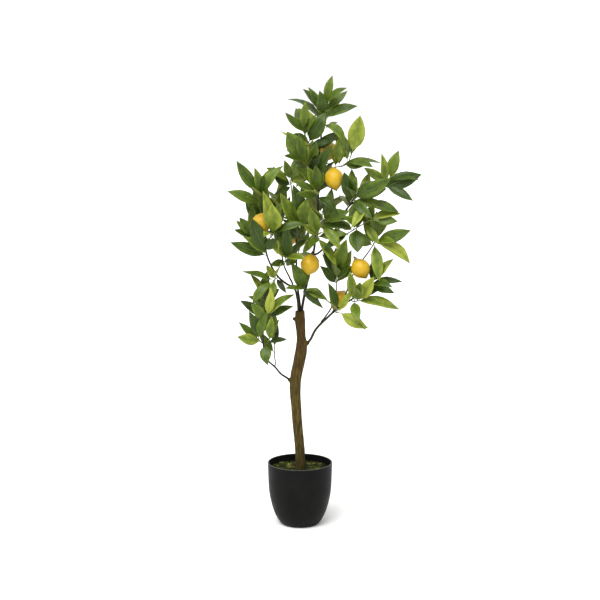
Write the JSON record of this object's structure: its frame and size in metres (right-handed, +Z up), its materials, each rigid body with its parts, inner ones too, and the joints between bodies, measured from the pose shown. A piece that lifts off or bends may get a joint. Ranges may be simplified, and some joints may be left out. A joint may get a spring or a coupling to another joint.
{
  "type": "potted lemon tree",
  "caption": "Small lemon tree with a bare trunk, leafy shoots and ripe lemons, standing in a tall round pot with moss over its fill.",
  "frame": {"origin": "middle of the pot's flat base, on the surface it stands on", "axes": "+Z up the trunk; -Y is the front, the side with the most lemons in view; +X to the right seen from the front"},
  "size_m": [0.468, 0.2915, 1.132],
  "materials": {
    "pot": "satin",
    "soil": "matte",
    "moss": "matte",
    "bark": "matte",
    "stem": "matte",
    "leaf": "satin",
    "lemon": "satin"
  },
  "bodies": {
    "root": {"centre_stem": "stem", "leader": "stem", "left_inner": "stem", "left_low": "stem", "left_main": "stem", "lemon_back": "lemon", "lemon_centre": "lemon", "lemon_left": "lemon", "lemon_low": "lemon", "lemon_right": "lemon", "lemon_top": "lemon", "lemon_upper": "lemon", "moss": "moss", "pot": "pot", "right_fork": "stem", "right_low": "stem", "right_rise": "stem", "right_upper": "stem", "shoot_back_column": "leaf", "shoot_back_left": "leaf", "shoot_back_low": "leaf", "shoot_back_mid": "leaf", "shoot_back_right": "leaf", "shoot_back_top": "leaf", "shoot_back_upper": "leaf", "shoot_centre": "leaf", "shoot_centre_top": "leaf", "shoot_hanging": "leaf", "shoot_inner_low": "leaf", "shoot_inner_top": "leaf", "shoot_left_back": "leaf", "shoot_left_front": "leaf", "shoot_left_out": "leaf", "shoot_left_tip": "leaf", "shoot_left_under": "leaf", "shoot_low_front": "leaf", "shoot_low_left_back": "leaf", "shoot_low_left_inner": "leaf", "shoot_low_left_mid": "leaf", "shoot_low_left_out": "leaf", "shoot_low_left_top": "leaf", "shoot_low_left_under": "leaf", "shoot_mid_front": "leaf", "shoot_mid_right": "leaf", "shoot_right_fork": "leaf", "shoot_right_low_front": "leaf", "shoot_right_low_tip": "leaf", "shoot_right_low_under": "leaf", "shoot_right_mid": "leaf", "shoot_right_rise": "leaf", "shoot_right_tip": "leaf", "shoot_right_under": "leaf", "shoot_right_upper": "leaf", "shoot_tip": "leaf", "shoot_top_left": "leaf", "shoot_top_right": "leaf", "shoot_trunk_top": "leaf", "shoot_upper_left": "leaf", "soil": "soil", "trunk": "bark"}
  },
  "joints": []
}
